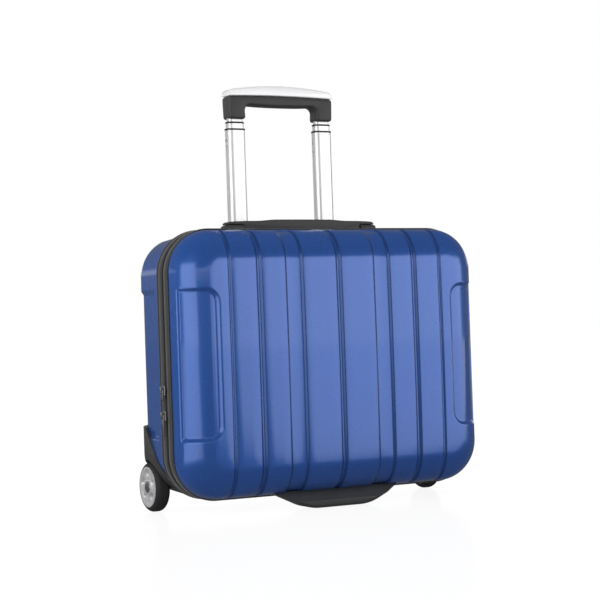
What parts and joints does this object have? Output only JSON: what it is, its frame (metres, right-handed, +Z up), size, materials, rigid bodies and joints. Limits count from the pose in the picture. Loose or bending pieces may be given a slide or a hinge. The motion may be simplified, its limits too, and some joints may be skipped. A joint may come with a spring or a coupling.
{
  "type": "rolling laptop case",
  "caption": "Hard-shell rolling laptop case with zipped clamshell halves, telescopic pull handle, top carry handle, rear wheels and front skid foot.",
  "frame": {"origin": "bottom centre of the whole case's bounding box, on the ground", "axes": "+X across the case to its own left as seen from behind, +Y from the lid towards the pull handle, +Z up"},
  "size_m": [0.4289, 0.1694, 0.537],
  "materials": {
    "blue_shell": "high gloss blue ABS",
    "black_band": "woven zip tape over a moulded edge",
    "zip_coil": "nylon zip coil",
    "hinge_cloth": "woven hinge tape",
    "black_plastic": "fine satin grain",
    "grip_plastic": "satin black",
    "cap_silver": "satin chrome plate",
    "tube_aluminium": "bright anodised",
    "collar_black": "satin black",
    "tyre_rubber": "matt rubber",
    "hub_silver": "silver painted plastic",
    "axle_steel": "zinc plated",
    "slider_metal": "nickel plated",
    "lining_cloth": "woven polyester",
    "sleeve_foam": "padded laminate",
    "strap_webbing": "woven webbing"
  },
  "bodies": {
    "rear_case": {"rear_shell": "blue_shell", "rear_band": "black_band", "rear_zip_coil": "zip_coil", "rear_hinge_tape": "hinge_cloth", "wheel_housing_left": "black_plastic", "wheel_housing_right": "black_plastic", "axle_left": "axle_steel", "axle_right": "axle_steel", "dock_tube_left": "tube_aluminium", "dock_tube_right": "tube_aluminium", "trolley_bezel": "black_plastic", "tube_bracket": "black_plastic", "carry_mount_left": "black_plastic", "carry_mount_right": "black_plastic", "back_lining": "lining_cloth", "laptop_sleeve": "sleeve_foam", "packing_strap_left": "strap_webbing", "packing_strap_right": "strap_webbing", "strap_buckle": "black_plastic"},
    "front_lid": {"front_shell": "blue_shell", "front_band": "black_band", "front_zip_coil": "zip_coil", "front_hinge_tape": "hinge_cloth", "front_foot": "black_plastic", "front_lining": "lining_cloth", "organiser_pocket": "lining_cloth"},
    "handle_first_stage": {"first_tube_left": "tube_aluminium", "first_collar_left": "collar_black", "first_plug_left": "collar_black", "first_tube_right": "tube_aluminium", "first_collar_right": "collar_black", "first_plug_right": "collar_black"},
    "handle_second_stage": {"second_tube_left": "tube_aluminium", "second_collar_left": "collar_black", "second_plug_left": "collar_black", "second_tube_right": "tube_aluminium", "second_collar_right": "collar_black", "second_plug_right": "collar_black"},
    "handle_third_stage": {"third_tube_left": "tube_aluminium", "third_plug_left": "collar_black", "third_tube_right": "tube_aluminium", "third_plug_right": "collar_black", "pull_grip": "grip_plastic", "grip_cap": "cap_silver"},
    "release_button": {"release_button": "cap_silver"},
    "carry_handle": {"carry_handle": "black_plastic"},
    "wheel_left": {"wheel_tyre_left": "tyre_rubber", "wheel_hub_left": "hub_silver"},
    "wheel_right": {"wheel_tyre_right": "tyre_rubber", "wheel_hub_right": "hub_silver"},
    "zip_slider_upper": {"zip_slider_upper": "slider_metal"},
    "zip_slider_lower": {"zip_slider_lower": "slider_metal"},
    "zip_puller_upper": {"zip_puller_upper": "slider_metal"},
    "zip_puller_lower": {"zip_puller_lower": "slider_metal"}
  },
  "joints": [
    {"name": "lid_hinge", "type": "hinge", "parent": "rear_case", "child": "front_lid", "pos_m": [0.0035, -0.02675, 0.0165], "axis": [1, 0, 0], "range_deg": [0, 120]},
    {"name": "handle_first_slide", "type": "slide", "parent": "rear_case", "child": "handle_first_stage", "axis": [0, 0, 1], "range_m": [-0.126, 0.1]},
    {"name": "handle_second_slide", "type": "slide", "parent": "handle_first_stage", "child": "handle_second_stage", "axis": [0, 0, 1], "range_m": [0, 0.2]},
    {"name": "handle_third_slide", "type": "slide", "parent": "handle_second_stage", "child": "handle_third_stage", "axis": [0, 0, 1], "range_m": [0, 0.19]},
    {"name": "release_button_travel", "type": "slide", "parent": "handle_third_stage", "child": "release_button", "axis": [0, 0, -1], "range_m": [0, 0.0035], "stiffness_N_per_m": 1500, "springref_m": -0.0015},
    {"name": "carry_handle_lift", "type": "slide", "parent": "rear_case", "child": "carry_handle", "axis": [0, 0, 1], "range_m": [0, 0.004]},
    {"name": "wheel_left_roll", "type": "hinge", "parent": "rear_case", "child": "wheel_left", "pos_m": [-0.1931, 0.04925, 0.0306], "axis": [1, 0, 0], "continuous": true},
    {"name": "wheel_right_roll", "type": "hinge", "parent": "rear_case", "child": "wheel_right", "pos_m": [0.2001, 0.04925, 0.0306], "axis": [1, 0, 0], "continuous": true},
    {"name": "zip_slider_upper_run", "type": "slide", "parent": "rear_case", "child": "zip_slider_upper", "axis": [0, 0, 1], "range_m": [0, 0.12]},
    {"name": "zip_slider_lower_run", "type": "slide", "parent": "rear_case", "child": "zip_slider_lower", "axis": [0, 0, 1], "range_m": [-0.025, 0]},
    {"name": "zip_puller_upper_swing", "type": "hinge", "parent": "zip_slider_upper", "child": "zip_puller_upper", "pos_m": [-0.21155, -0.02675, 0.1529], "axis": [0, 1, 0], "range_deg": [0, 90]},
    {"name": "zip_puller_lower_swing", "type": "hinge", "parent": "zip_slider_lower", "child": "zip_puller_lower", "pos_m": [-0.21155, -0.02675, 0.1229], "axis": [0, 1, 0], "range_deg": [0, 90]}
  ]
}
